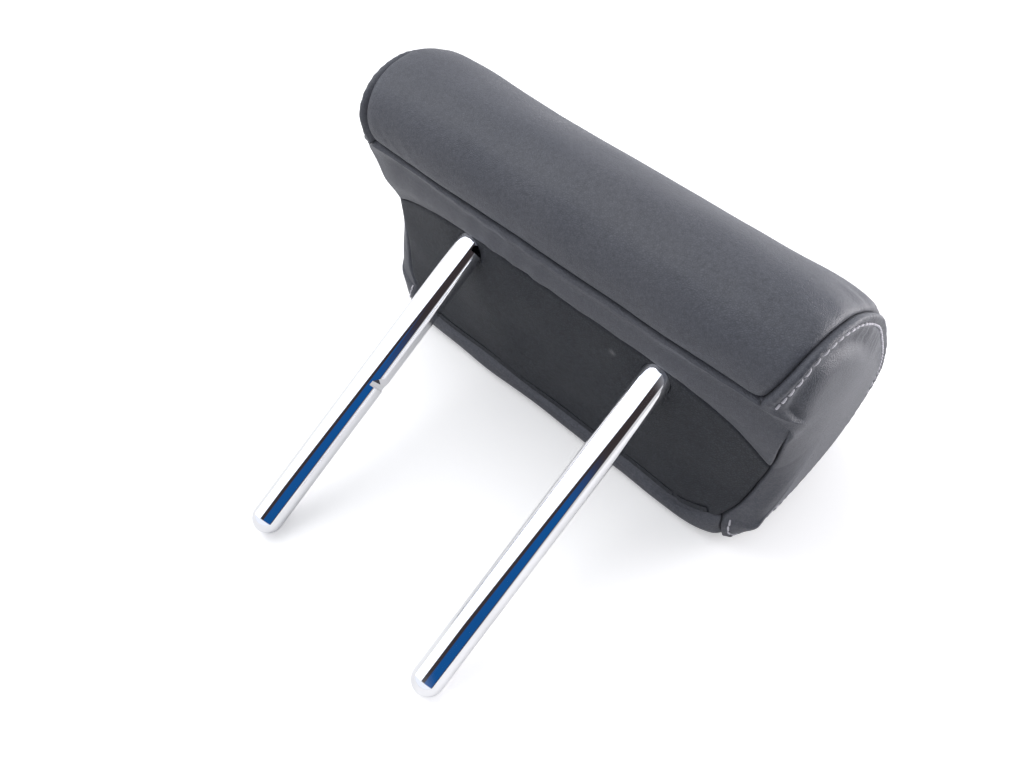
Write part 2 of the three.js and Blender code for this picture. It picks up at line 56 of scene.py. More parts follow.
def put(tree, kind, *values, settings=None, **sockets):
    """Adds a shader node. Values fill its sockets in order, the named ones by name."""
    made = tree.nodes.new("ShaderNode" + kind)
    for name, value in (settings or {}).items():
        setattr(made, name, value)
    wanted = list(enumerate(values)) + [(n.replace("_", " "), v) for n, v in sockets.items()]
    for name, value in wanted:
        if isinstance(value, bpy.types.NodeSocket):
            tree.links.new(value, made.inputs[name])
        elif value is not None:
            made.inputs[name].default_value = value
    return made


def new_finish(name, **constants):
    """A material with its shader's constant sockets set; returns it with its tree and shader."""
    finish = bpy.data.materials.new(name)
    finish.use_nodes = True
    shader = finish.node_tree.nodes["Principled BSDF"]
    for socket, value in constants.items():
        shader.inputs[socket.replace("_", " ")].default_value = value
    return finish, finish.node_tree, shader


def chrome_finish():
    finish, tree, shader = new_finish("bright_chrome", Metallic=1.0)
    coords = put(tree, "TexCoord").outputs["Object"]
    along = put(tree, "Mapping", coords, Scale=(1.0, 1.0, 0.08)).outputs[0]
    rubbed = put(tree, "TexNoise", along, Scale=900.0, Detail=3.0).outputs["Fac"]
    cloud = put(tree, "TexNoise", coords, Scale=38.0, Detail=2.0).outputs["Fac"]
    shade = put(tree, "MapRange", cloud, 0.3, 0.7, 0.84, 0.9).outputs[0]
    tint = put(tree, "CombineColor", shade, shade, put(tree, "Math", shade, 1.015,
               settings={"operation": "MULTIPLY"}).outputs[0]).outputs[0]
    rough = put(tree, "MapRange", rubbed, 0.35, 0.75, 0.025, 0.07).outputs[0]
    tree.links.new(tint, shader.inputs["Base Color"])
    tree.links.new(rough, shader.inputs["Roughness"])
    bump = put(tree, "Bump", Strength=0.05, Distance=0.00002, Height=rubbed).outputs[0]
    tree.links.new(bump, shader.inputs["Normal"])
    return finish


def cut_away(piece, cutter):
    """Takes the cutter's shape out of the piece."""
    bpy.ops.object.select_all(action="DESELECT")
    piece.select_set(True)
    bpy.context.view_layer.objects.active = piece
    bpy.ops.object.modifier_add(type="BOOLEAN")
    cut = piece.modifiers[-1]
    cut.operation = "DIFFERENCE"
    cut.solver = "EXACT"
    cut.object = cutter
    bpy.ops.object.modifier_apply(modifier=cut.name)
    bpy.data.objects.remove(cutter)


def bent_rod():
    tip_angle = math.asin(ROD_TIP_FLAT / ROD_RADIUS)
    dome = [tip_angle + (math.pi / 2 - tip_angle) * i / 10 for i in range(11)]
    rise = [ROD_RADIUS * (math.cos(tip_angle) - math.cos(a)) for a in dome]
    bpy.ops.mesh.primitive_circle_add(vertices=96, radius=ROD_TIP_FLAT, location=(-ROD_LEG_X, 0, 0))
    rod = bpy.context.object
    rod.name = rod.data.name = "chromed_post_rod"
    bpy.ops.object.transform_apply(location=True)
    bpy.ops.object.mode_set(mode="EDIT")
    bpy.ops.mesh.select_all(action="SELECT")
    bpy.ops.mesh.edge_face_add()
    bpy.ops.mesh.select_mode(type="EDGE")
    bpy.ops.mesh.select_all(action="SELECT")
    for i in range(1, len(dome)):
        bpy.ops.mesh.extrude_edges_move(TRANSFORM_OT_translate={"value": (0, 0, rise[i] - rise[i - 1])})
        widen = math.sin(dome[i]) / math.sin(dome[i - 1])
        bpy.ops.transform.resize(value=(widen, widen, 1), center_override=(-ROD_LEG_X, 0, rise[i]))
    straight = ROD_TOP_Z - ROD_BEND_RADIUS
    bend_x = ROD_LEG_X - ROD_BEND_RADIUS
    bpy.ops.mesh.extrude_edges_move(TRANSFORM_OT_translate={"value": (0, 0, straight - rise[-1])})
    bpy.ops.mesh.spin(steps=20, angle=-math.pi / 2, center=(-bend_x, 0, straight), axis=(0, 1, 0))
    bpy.ops.mesh.extrude_edges_move(TRANSFORM_OT_translate={"value": (2 * bend_x, 0, 0)})
    bpy.ops.mesh.spin(steps=20, angle=-math.pi / 2, center=(bend_x, 0, straight), axis=(0, 1, 0))
    bpy.ops.mesh.extrude_edges_move(TRANSFORM_OT_translate={"value": (0, 0, rise[-1] - straight)})
    for i in range(len(dome) - 1, 0, -1):
        bpy.ops.mesh.extrude_edges_move(TRANSFORM_OT_translate={"value": (0, 0, rise[i - 1] - rise[i])})
        narrow = math.sin(dome[i - 1]) / math.sin(dome[i])
        bpy.ops.transform.resize(value=(narrow, narrow, 1), center_override=(ROD_LEG_X, 0, rise[i - 1]))
    bpy.ops.mesh.edge_face_add()
    bpy.ops.mesh.select_all(action="SELECT")
    bpy.ops.mesh.remove_doubles(threshold=1e-6)
    bpy.ops.mesh.normals_make_consistent(inside=False)
    bpy.ops.object.mode_set(mode="OBJECT")
    return rod


def notch_cutter(ledge):
    wall = ROD_RADIUS - ROD_LEG_X
    bpy.ops.mesh.primitive_cube_add(size=1, location=(wall, 0, ledge + NOTCH_FLOOR / 2),
                                    scale=(2 * NOTCH_DEPTH, 4 * ROD_RADIUS, NOTCH_FLOOR))
    cutter = bpy.context.object
    bpy.ops.object.transform_apply(location=True, scale=True)
    bpy.ops.object.mode_set(mode="EDIT")
    bpy.ops.mesh.select_all(action="DESELECT")
    bpy.ops.object.mode_set(mode="OBJECT")
    for corner in cutter.data.vertices:
        corner.select = corner.co.x > wall and corner.co.z > ledge + NOTCH_FLOOR / 2
    bpy.ops.object.mode_set(mode="EDIT")
    bpy.ops.transform.translate(value=(0, 0, 2 * NOTCH_RAMP))
    bpy.ops.object.mode_set(mode="OBJECT")
    return cutter


post_rod = bent_rod()
for ledge in NOTCH_LEDGES:
    cut_away(post_rod, notch_cutter(ledge))
bpy.ops.object.shade_smooth_by_angle(angle=math.radians(25))
post_rod.data.materials.append(chrome_finish())
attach(post_rod, "root")
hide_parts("post_rod")


# Carrier: two half shells moulded in black plastic, ribbed inside, which clamp the rod's bend
# and are closed with four screws. The closing strips at the bottom of the cover are the same
# plastic, extruded. All of them keep their exact shape.
def two_tones(tree, value, start, dark, end, light):
    """A colour that goes from dark to light while the value goes from start to end."""
    tone = put(tree, "ValToRGB", value)
    first, last = tone.color_ramp.elements
    first.position, first.color = start, dark
    last.position, last.color = end, light
    return tone.outputs[0]


def moulded_plastic():
    finish, tree, shader = new_finish("moulded_plastic", Specular_IOR_Level=0.45)
    coords = put(tree, "TexCoord").outputs["Object"]
    sparks = put(tree, "TexVoronoi", coords, Scale=1600.0).outputs["Distance"]
    flow = put(tree, "TexNoise", coords, Scale=60.0, Detail=3.0).outputs["Fac"]
    tone = two_tones(tree, flow, 0.3, (0.010, 0.010, 0.011, 1),
                     0.7, (0.021, 0.021, 0.023, 1))
    tree.links.new(tone, shader.inputs["Base Color"])
    rough = put(tree, "MapRange", flow, 0.3, 0.7, 0.46, 0.62).outputs[0]
    tree.links.new(rough, shader.inputs["Roughness"])
    bump = put(tree, "Bump", Strength=0.35, Distance=0.00008, Height=sparks).outputs[0]
    tree.links.new(bump, shader.inputs["Normal"])
    return finish


def repaint(node, finish):
    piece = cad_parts[node]
    piece.data.materials.clear()
    piece.data.materials.append(finish)


plastic = moulded_plastic()
for node in ("carrier_rear", "carrier_front", "closing_strip_base", "closing_strip_wrap"):
    repaint(node, plastic)


# Carrier screws: four zinc plated steel screws, driven in from behind.
def zinc_plate():
    finish, tree, shader = new_finish("zinc_plate", Metallic=1.0)
    coords = put(tree, "TexCoord").outputs["Object"]
    spangle = put(tree, "TexVoronoi", coords, Scale=900.0).outputs["Color"]
    grey = put(tree, "RGBToBW", spangle).outputs[0]
    shade = put(tree, "MapRange", grey, 0.0, 1.0, 0.44, 0.56).outputs[0]
    tint = put(tree, "CombineColor", shade, shade, shade).outputs[0]
    tree.links.new(tint, shader.inputs["Base Color"])
    rough = put(tree, "MapRange", grey, 0.0, 1.0, 0.3, 0.42).outputs[0]
    tree.links.new(rough, shader.inputs["Roughness"])
    return finish


zinc = zinc_plate()
for place in ("lower_left", "upper_left", "lower_right", "upper_right"):
    repaint("carrier_screw_" + place, zinc)


# Foam pad: one block of dark grey polyurethane foam moulded round the carrier, open celled, with a
# skin from the mould. A valley along the lip and slimmer ends give room to the cover, which hides
# the whole pad.
LIP_VALLEY = (-0.029, 0.161)
LIP_VALLEY_DEPTH = 0.004
LIP_VALLEY_REACH = 0.011
END_ROOM_FROM = 0.086
END_ROOM = 0.18


def open_cell_foam():
    finish, tree, shader = new_finish("open_cell_foam", Specular_IOR_Level=0.2)
    coords = put(tree, "TexCoord").outputs["Object"]
    cells = put(tree, "TexVoronoi", coords, Scale=1400.0).outputs["Distance"]
    cloud = put(tree, "TexNoise", coords, Scale=25.0, Detail=4.0).outputs["Fac"]
    tone = two_tones(tree, cloud, 0.3, (0.020, 0.020, 0.022, 1),
                     0.7, (0.040, 0.040, 0.043, 1))
    tree.links.new(tone, shader.inputs["Base Color"])
    rough = put(tree, "MapRange", cells, 0.0, 0.6, 0.95, 0.8).outputs[0]
    tree.links.new(rough, shader.inputs["Roughness"])
    bump = put(tree, "Bump", Strength=0.6, Distance=0.0003, Height=cells).outputs[0]
    tree.links.new(bump, shader.inputs["Normal"])
    return finish


foam_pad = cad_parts["foam_pad"].copy()
foam_pad.data = foam_pad.data.copy()
foam_pad.name = foam_pad.data.name = "moulded_foam_pad"
foam_pad.parent = None
for key in list(foam_pad.keys()):
    del foam_pad[key]
bpy.context.scene.collection.objects.link(foam_pad)
bpy.ops.object.select_all(action="DESELECT")
foam_pad.select_set(True)
bpy.context.view_layer.objects.active = foam_pad
bpy.ops.object.mode_set(mode="EDIT")
bpy.ops.mesh.select_all(action="SELECT")
bpy.ops.mesh.remove_doubles(threshold=1e-6)
bpy.ops.object.mode_set(mode="OBJECT")
for spot in foam_pad.data.vertices:
    off_valley = math.hypot(spot.co.y - LIP_VALLEY[0], spot.co.z - LIP_VALLEY[1])
    spot.co.z += LIP_VALLEY_DEPTH * math.exp(-(off_valley / LIP_VALLEY_REACH) ** 2)
    beyond = max(abs(spot.co.x) - END_ROOM_FROM, 0)
    spot.co.x -= math.copysign(END_ROOM * beyond, spot.co.x)
bpy.ops.object.shade_smooth_by_angle(angle=math.radians(35))
foam_pad.data.materials.clear()
foam_pad.data.materials.append(open_cell_foam())
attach(foam_pad, "root")
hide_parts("foam_pad")


# Pattern of the cover: the lines that its five leather panels are cut and sewn to, in
# millimetres as (half width, y, z). One long panel wraps the back, the top and the front, two
# panels close the sides, a strip forms the lip under the back roll, and one panel closes the base.
WRAP_SEAM = [
    (92, 60, 122.6), (95, 63, 119.8), (99, 67.5, 119.3), (103, 72.5, 124), (105.5, 81, 141),
    (106.5, 90, 162), (107, 95, 184), (107, 92, 204), (107, 78, 219.5), (107, 50, 224.5),
    (107, 12, 222.5), (107, -15, 217.6), (107, -38, 208.8), (107, -52, 197), (106, -57, 185),
    (103, -52, 172.5), (98, -39, 164.3),
]
LIP_SEAM = [
    (98, -39, 164.3), (104.5, -32, 164.4), (108.5, -22, 163.4), (107.5, -6, 160.2), (105, 10, 156),
]
LIP_MIDDLE = [
    (98, -39, 164.3), (104.5, -34.5, 161.2), (108.5, -28, 160.2), (107.5, -18, 160.2),
    (105, -9.5, 159.3),
]
BASE_SEAM = [
    (105, 10, 156), (104.2, 19, 151.2), (103.2, 27, 146.4), (102.2, 34, 141.6), (99, 46, 132),
    (92, 60, 122.6),
]
BASE_MIDDLE = [
    (105, -9.5, 159.3), (104.2, 4, 152), (103.2, 18, 144.6), (102.2, 32, 137.2), (99, 46, 129.9),
    (92, 60, 122.6),
]
SIDE_CENTRE = np.array((12.0, 182.0))
SIDE_RIM_X = 107
SIDE_CROWN_X = 113
SIDE_RIM_ROUNDING = 3.5
WRAP_CROWN = 4.2
WRAP_HEEL = 2.2
WRAP_HEEL_AT = 11
WRAP_HEEL_REACH = 8
BASE_CROWN = 1.2
BASE_END = np.array((60.0, 122.6))
ALONG_BASE = np.array((0.884, -0.467))
OFF_BASE = np.array((0.467, 0.884))
CORNER_CLIMB = (-7.6, 4.0)
CORNER_OUTWARDS = {"left": -0.5, "right": 3.5}
CORNER_REACH = {"before": 15, "beyond": 5, "above": 9}
CORNER_SIDES = (74, 96)
WRAP_ROWS = 420
LIP_ROWS = 40
BASE_ROWS = 66
COLUMNS = 100
NARROW_ROWS = 14
SEWING_ALLOWANCE = 2.8
LEATHER_THICKNESS = 0.0012

# Where the sewing and the stuffing pull the cover out of its even shape: place, reach, shift.
PULLS = [
    ((106, 70, 124), 12, (-1, -1.5, 2.8)),
    ((108.5, -24, 164), 8, (2.2, -0.8, 0.8)),
    ((-108.5, -24, 164), 8, (-2.2, -0.8, 0.8)),
    ((105, 10, 156), 15, (0.5, 5.5, -2.3)),
    ((-106, -57, 186), 20, (4.2, 0, -0.6)),
    ((-98, -28, 214), 26, (0.6, -0.8, 2.6)),
    ((96, -5, 222), 26, (0, -0.5, 1.8)),
    ((108, 56, 131), 18, (-1.3, 0, 1.9)),
]


def smooth_step(value, start, end):
    t = np.clip((value - start) / (end - start), 0, 1)
    return t * t * (3 - 2 * t)


def pulled(places):
    total = np.zeros_like(places)
    for centre, reach, shift in PULLS:
        far = np.linalg.norm(places - np.array(centre), axis=-1, keepdims=True)
        total += np.exp(-(far / reach) ** 2) * np.array(shift)
    return places + total + corner_climb(places)


def corner_climb(places):
    """The base panel's lower corners are cut round, so its seam climbs towards the sides."""
    from_corner = places[..., 1:] - BASE_END
    past = from_corner @ ALONG_BASE
    above = from_corner @ OFF_BASE
    along = np.where(past > 0, past / CORNER_REACH["beyond"], past / CORNER_REACH["before"])
    fade = np.exp(-along ** 2) * np.exp(-(above / CORNER_REACH["above"]) ** 2)
    fade = fade * smooth_step(np.abs(places[..., 0]), *CORNER_SIDES)
    outwards = np.where(places[..., 0] > 0, CORNER_OUTWARDS["right"], CORNER_OUTWARDS["left"])
    back, up = (np.full_like(past, move) for move in CORNER_CLIMB)
    return fade[..., None] * np.stack((outwards, back, up), -1)


def smooth_line(corners, steps=40):
    """The smooth line through the corners, and where along them each of its points lies."""
    given = np.array(corners, float)
    given = np.vstack((2 * given[0] - given[1], given, 2 * given[-1] - given[-2]))
    line = []
    for i in range(1, len(given) - 2):
        before, start, end, after = given[i - 1:i + 3]
        a, b, c = (np.sqrt(np.linalg.norm(q - p))
                   for p, q in ((before, start), (start, end), (end, after)))
        leave = ((start - before) / a - (end - before) / (a + b) + (end - start) / b) * b
        reach = ((end - start) / b - (after - start) / (b + c) + (after - end) / c) * b
        for t in np.arange(steps) / steps:
            line.append(start + leave * t + (3 * end - 3 * start - 2 * leave - reach) * t ** 2
                        + (2 * start - 2 * end + leave + reach) * t ** 3)
    line.append(given[-2])
    return np.array(line), np.linspace(0, 1, len(line))


def read_line(line, places, at):
    return np.stack([np.interp(at, places, line[:, k]) for k in range(3)], -1)


def close_at_ends(count, closeness):
    """Steps from 0 to 1 that lie closer together near both ends."""
    s = np.linspace(0, 1, count)
    return (1 - closeness) * s + closeness * (3 * s ** 2 - 2 * s ** 3)


def unit(vectors):
    return vectors / np.maximum(np.linalg.norm(vectors, axis=-1, keepdims=True), 1e-9)


def facing_out(places):
    """Outward normals of a grid of places on the head part."""
    normal = unit(np.cross(np.gradient(places, axis=0), np.gradient(places, axis=1)))
    middle = np.array((0, SIDE_CENTRE[0], SIDE_CENTRE[1]))
    outward = np.sign(np.sum(normal * (places - middle), axis=-1, keepdims=True))
    return normal * outward


across = 2 * close_at_ends(COLUMNS + 1, 0.72) - 1

wrap_line = smooth_line(WRAP_SEAM)[0]
wrap_run = np.concatenate(([0], np.cumsum(np.linalg.norm(np.diff(wrap_line, axis=0), axis=1))))
wrap_at = close_at_ends(WRAP_ROWS + 1, 0.25)
wrap_seam = read_line(wrap_line, wrap_run / wrap_run[-1], wrap_at)
wrap_length = wrap_run[-1]

slope = np.gradient(wrap_seam[:, 1:], axis=0)
outward = unit(np.stack((slope[:, 1], -slope[:, 0]), -1))
rise = np.minimum(1, np.minimum(7 * wrap_at, 5 * (1 - wrap_at)))
rise = rise * rise * (3 - 2 * rise)
swell = WRAP_CROWN * rise[:, None] * (1 - np.abs(across) ** 10)
heel = WRAP_HEEL * np.exp(-((wrap_at * wrap_length - WRAP_HEEL_AT) / WRAP_HEEL_REACH) ** 2)
swell += heel[:, None] * (1 - across ** 6)
wrap_grid = np.stack((
    wrap_seam[:, :1] * across,
    wrap_seam[:, 1:2] + outward[:, :1] * swell,
    wrap_seam[:, 2:3] + outward[:, 1:2] * swell,
), -1)


def drawn_in(middle, seam, at, crown):
    """Grid between the side seams that follows one line at mid width and another at the seams."""
    inner = read_line(*smooth_line(middle), at)
    outer = read_line(*smooth_line(seam), at)
    share = (np.abs(across) ** 4)[None, :, None]
    grid = inner[:, None] * (1 - share) + outer[:, None] * share
    bulge = crown * np.sin(np.pi * at)[:, None] * (1 - across ** 2)
    return np.stack((
        outer[:, :1] * across,
        grid[..., 1] - OFF_BASE[0] * bulge,
        grid[..., 2] - OFF_BASE[1] * bulge,
    ), -1)


lip_at = close_at_ends(LIP_ROWS + 1, 0.4)
base_at = close_at_ends(BASE_ROWS + 1, 0.5)
lip_grid = drawn_in(LIP_MIDDLE, LIP_SEAM, lip_at, 0)
base_grid = drawn_in(BASE_MIDDLE, BASE_SEAM, base_at, BASE_CROWN)


def side_grid(sign):
    """Side panel as rings from its seam to its middle, one place for each row of the seam."""
    end = -1 if sign > 0 else 0
    seam = np.vstack((wrap_grid[:-1, end], lip_grid[:-1, end], base_grid[:, end]))
    away = seam[:, 1:] - SIDE_CENTRE
    reach = np.linalg.norm(away, axis=1)[:, None]
    depths = np.concatenate((np.linspace(0, 9, 19), 9 + 9 * np.linspace(0, 1, 10)[1:] ** 1.2))
    near = 1 - depths * np.minimum(1, reach * 0.55 / depths[-1]) / reach
    far = near[:, -1:] * (1 - np.linspace(0, 1, 17)[1:])
    share = np.hstack((near, far))
    edge = abs(seam[:, :1])
    rim = np.maximum(0, SIDE_RIM_X - edge) * (1 - np.exp(-reach * (1 - share) / SIDE_RIM_ROUNDING))
    crown = (SIDE_CROWN_X - np.maximum(SIDE_RIM_X, edge)) * (1 - share ** 3)
    return np.stack((
        sign * (edge + rim + crown),
        SIDE_CENTRE[0] + away[:, :1] * share,
        SIDE_CENTRE[1] + away[:, 1:] * share,
    ), -1)


side_grids = {"left": pulled(side_grid(-1)), "right": pulled(side_grid(1))}
wrap_grid, lip_grid, base_grid = pulled(wrap_grid), pulled(lip_grid), pulled(base_grid)
wrap_out = facing_out(wrap_grid)
lip_out = facing_out(lip_grid)
base_out = facing_out(base_grid)
side_out = {name: facing_out(grid) for name, grid in side_grids.items()}
turn_over = smooth_step(np.arange(NARROW_ROWS), 0, NARROW_ROWS)[:, None, None]
for name, sign in (("left", -1), ("right", 1)):
    normals = side_out[name]
    normals[:, -2:] = (sign, 0, 0)
    # Where the seam runs almost towards the middle, the normals are blended from both sides.
    normals[:NARROW_ROWS] = unit(normals[-1] * (1 - turn_over) + normals[NARROW_ROWS] * turn_over)


def into_seam(one, other):
    """Direction in which two sewn edges turn in, midway between their panels."""
    return -unit(one + other)


def turned_in(places, sew_in, edge, width, depth, bulge=0.6):
    """Rolls a panel's edge into its seam: how each place moves. The edge is an axis of the grid
    and whether it lies at that axis's end. Width is how far from the seam the roll starts."""
    axis, end = edge
    if axis == 1:
        places = places.swapaxes(0, 1)
    if end:
        places = places[::-1]
    steps = np.linalg.norm(np.diff(places, axis=0), axis=-1)
    away = np.concatenate((np.zeros((1, places.shape[1])), np.cumsum(steps, axis=0)))
    t = np.clip(1 - away / width, 0, 1)[..., None]
    towards = unit(places - np.roll(places, -1, axis=0))
    move = t ** 2 * depth * sew_in[None] + bulge * t * (1 - t) * width * towards
    if end:
        move = move[::-1]
    if axis == 1:
        move = move.swapaxes(0, 1)
    return move


def ripples(places, wavelength, seed, waves=16):
    """Smooth random waves over the places, about -1 to 1, the same on every run."""
    chance = np.random.default_rng(seed)
    total = np.zeros(places.shape[:-1])
    for _ in range(waves):
        direction = chance.normal(size=3)
        direction /= np.linalg.norm(direction)
        length = wavelength * chance.uniform(0.7, 1.5)
        total += np.cos(places @ direction * (2 * math.pi / length) + chance.uniform(0, 2 * math.pi))
    return total / math.sqrt(waves / 2)


def folds(along, wavelength, seed, waves=9):
    """The same kind of waves along a line."""
    return ripples(np.stack((along, 0 * along, 0 * along), -1) * 2, wavelength, seed, waves)


def hemmed(places, start=None, end=None, left=None, right=None):
    """Adds the sewing allowance, which stands inwards from each sewn edge. Each argument is the
    direction of one edge's allowance."""
    rows = [places]
    if start is not None:
        rows.insert(0, places[:1] + SEWING_ALLOWANCE * start[None])
    if end is not None:
        rows.append(places[-1:] + SEWING_ALLOWANCE * end[None])
    places = np.vstack(rows)
    before, after = int(start is not None), int(end is not None)
    columns = [places]
    if left is not None:
        left = np.pad(left, ((before, after), (0, 0)), "edge")[:, None]
        columns.insert(0, places[:, :1] + SEWING_ALLOWANCE * left)
    if right is not None:
        right = np.pad(right, ((before, after), (0, 0)), "edge")[:, None]
        columns.append(places[:, -1:] + SEWING_ALLOWANCE * right)
    return np.hstack(columns)


def laid_out(name, places):
    """A sheet of leather with one vertex for each of the places, which are in millimetres."""
    rows, columns = places.shape[:2]
    bpy.ops.mesh.primitive_grid_add(x_subdivisions=columns - 1, y_subdivisions=rows - 1, size=2)
    piece = bpy.context.object
    piece.name = piece.data.name = name
    spots = np.empty(len(piece.data.vertices) * 3)
    piece.data.vertices.foreach_get("co", spots)
    spots = (spots.reshape(-1, 3) + 1) / 2
    column = np.rint(spots[:, 0] * (columns - 1)).astype(int)
    row = np.rint(spots[:, 1] * (rows - 1)).astype(int)
    piece.data.vertices.foreach_set("co", (places[row, column] / 1000).ravel())
    piece.data.update()
    bpy.ops.object.mode_set(mode="EDIT")
    bpy.ops.mesh.select_all(action="SELECT")
    bpy.ops.mesh.remove_doubles(threshold=1e-6)
    bpy.ops.object.mode_set(mode="OBJECT")
    middle = Vector((0, SIDE_CENTRE[0] / 1000, SIDE_CENTRE[1] / 1000))
    facing = sum((face.center - middle).dot(face.normal) for face in piece.data.polygons)
    if facing < 0:
        bpy.ops.object.mode_set(mode="EDIT")
        bpy.ops.mesh.flip_normals()
        bpy.ops.object.mode_set(mode="OBJECT")
    bpy.ops.object.shade_smooth()
    return piece


def sewn_in(piece, node, finish):
    """Gives a panel its thickness and finish, and puts it in place of its solid."""
    bpy.ops.object.modifier_add(type="SOLIDIFY")
    piece.modifiers[-1].thickness = LEATHER_THICKNESS
    piece.modifiers[-1].offset = -1
    piece.data.materials.append(finish)
    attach(piece, "root")
    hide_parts(node)


# Wrap panel: one long piece of smooth black leather over the back roll, the top and the front,
# laminated to thin foam, which fills it out between the seams. It turns in along all four edges.
def smooth_leather():
    finish, tree, shader = new_finish("smooth_leather", Specular_IOR_Level=0.36, Sheen_Weight=0.05,
                                      Sheen_Roughness=0.45, IOR=1.5)
    coords = put(tree, "TexCoord").outputs["Object"]
    drift = put(tree, "TexNoise", coords, Scale=220.0, Detail=2.0).outputs["Color"]
    bent = put(tree, "VectorMath", drift, (0.5, 0.5, 0.5), settings={"operation": "SUBTRACT"}).outputs[0]
    bent = put(tree, "VectorMath", bent, settings={"operation": "SCALE"}, Scale=0.0016).outputs[0]
    bent = put(tree, "VectorMath", coords, bent).outputs[0]
    grain = put(tree, "TexVoronoi", bent, Scale=1150.0,
                settings={"feature": "DISTANCE_TO_EDGE"}).outputs["Distance"]
    pebble = put(tree, "MapRange", grain, 0.0, 0.28, 0.0, 1.0,
                 settings={"interpolation_type": "SMOOTHSTEP"}).outputs[0]
    pores = put(tree, "TexNoise", bent, Scale=4200.0, Detail=2.0).outputs["Fac"]
    crease = put(tree, "TexNoise", coords, Scale=420.0, Detail=4.0, Roughness=0.6).outputs["Fac"]
    cloud = put(tree, "TexNoise", coords, Scale=17.0, Detail=5.0, Roughness=0.55).outputs["Fac"]
    tone = two_tones(tree, cloud, 0.32, (0.062, 0.066, 0.082, 1),
                     0.70, (0.080, 0.083, 0.098, 1))
    mottle = put(tree, "TexNoise", coords, Scale=640.0, Detail=2.0, Roughness=0.6).outputs["Fac"]
    blotch = put(tree, "MapRange", mottle, 0.3, 0.7, 0.84, 1.14).outputs[0]
    valley = put(tree, "MapRange", pebble, 0.0, 1.0, 0.80, 1.03).outputs[0]
    shade = put(tree, "Math", blotch, valley, settings={"operation": "MULTIPLY"}).outputs[0]
    tone = put(tree, "VectorMath", tone, settings={"operation": "SCALE"}, Scale=shade).outputs[0]
    tree.links.new(tone, shader.inputs["Base Color"])
    rough = put(tree, "MapRange", cloud, 0.3, 0.7, 0.40, 0.50).outputs[0]
    rough = put(tree, "Math", rough, put(tree, "Math", pores, 0.12,
                settings={"operation": "MULTIPLY"}).outputs[0]).outputs[0]
    tree.links.new(rough, shader.inputs["Roughness"])
    fine = put(tree, "Bump", Strength=0.7, Distance=0.00010, Height=pebble).outputs[0]
    fine = put(tree, "Bump", Strength=0.35, Distance=0.00003, Height=pores, Normal=fine).outputs[0]
    soft = put(tree, "Bump", Strength=0.45, Distance=0.00018, Height=crease, Normal=fine).outputs[0]
    tree.links.new(soft, shader.inputs["Normal"])
    return finish


leather = smooth_leather()
from_side = np.minimum(1 + across, 1 - across)[None] * wrap_seam[:, :1]
from_lip = ((1 - wrap_at) * wrap_length)[:, None] + 0 * from_side
along_seam = (wrap_at * wrap_length)[:, None] + 0 * from_side
wrap_sewn = {
    "start": into_seam(wrap_out[0], base_out[-1]),
    "end": into_seam(wrap_out[-1], lip_out[0]),
    "left": into_seam(wrap_out[:, 0], side_out["left"][:WRAP_ROWS + 1, 0]),
    "right": into_seam(wrap_out[:, -1], side_out["right"][:WRAP_ROWS + 1, 0]),
}
wrap_moves = turned_in(wrap_grid, wrap_sewn["left"], (1, False), 6.0, 3.0)
wrap_moves += turned_in(wrap_grid, wrap_sewn["right"], (1, True), 6.0, 3.0)
wrap_moves *= (0.3 + 0.7 * smooth_step(along_seam, 2, 18))[..., None]
wrap_moves += turned_in(wrap_grid, wrap_sewn["start"], (0, False), 1.6, 1.0)
wrap_moves += turned_in(wrap_grid, wrap_sewn["end"], (0, True), 8.0, 3.6, bulge=0.45)
uneven = 0.30 * ripples(wrap_grid, 75, 3) + 0.10 * ripples(wrap_grid, 26, 5)
puckers = 0.14 * folds(along_seam, 17, 8) * np.exp(-(np.maximum(from_side - 4, 0) / 9) ** 2)
slanted = wrap_grid[..., 0] + 0.9 * from_lip
creased = np.exp(-((from_lip - 9) / 8) ** 2)
puckers += (0.05 * folds(slanted, 11, 12) + 0.035 * folds(slanted, 4.5, 13)) * creased
calm = smooth_step(from_side, 0, 5) * smooth_step(from_lip, 0, 4) * smooth_step(along_seam, 0, 6)
wrap_places = wrap_grid + wrap_moves + wrap_out * ((uneven + puckers) * calm)[..., None]
wrap_panel = laid_out("wrap_panel_leather", hemmed(wrap_places, **wrap_sewn))
sewn_in(wrap_panel, "wrap_panel", leather)


# Lip panel: a strip of the same leather between the back roll and the base, recessed along the
# roll's seam and stuffed to a soft ridge along its middle. Its ends stand out past the roll.
lip_away = np.concatenate((np.zeros((1, COLUMNS + 1)), np.cumsum(
    np.linalg.norm(np.diff(lip_grid, axis=0), axis=-1), axis=0)))
lip_share = lip_away / lip_away[-1:]
lip_rows = slice(WRAP_ROWS, WRAP_ROWS + LIP_ROWS + 1)
lip_sewn = {
    "start": into_seam(lip_out[0], wrap_out[-1]),
    "end": into_seam(lip_out[-1], base_out[0]),
    "left": into_seam(lip_out[:, 0], side_out["left"][lip_rows, 0]),
    "right": into_seam(lip_out[:, -1], side_out["right"][lip_rows, 0]),
}
lip_moves = turned_in(lip_grid, lip_sewn["start"], (0, False), 2.0, 3.0, bulge=0)
lip_moves += turned_in(lip_grid, lip_sewn["end"], (0, True), 2.2, 1.9)
lip_moves += turned_in(lip_grid, lip_sewn["left"], (1, False), 1.8, 2.2)
lip_moves += turned_in(lip_grid, lip_sewn["right"], (1, True), 1.8, 2.2)
ridge = 1.6 * np.exp(-((lip_share - 0.70) / 0.16) ** 2)
valley = (3.2 + 1.4 * across ** 4) * smooth_step(across, -1, -0.75)
ridge -= valley * np.exp(-((lip_share - 0.29) / 0.20) ** 2)
ridge += 0.16 * folds(lip_grid[..., 0], 21, 4)
ridge *= smooth_step(lip_share, 0, 0.06) * smooth_step(1 - lip_share, 0, 0.12)
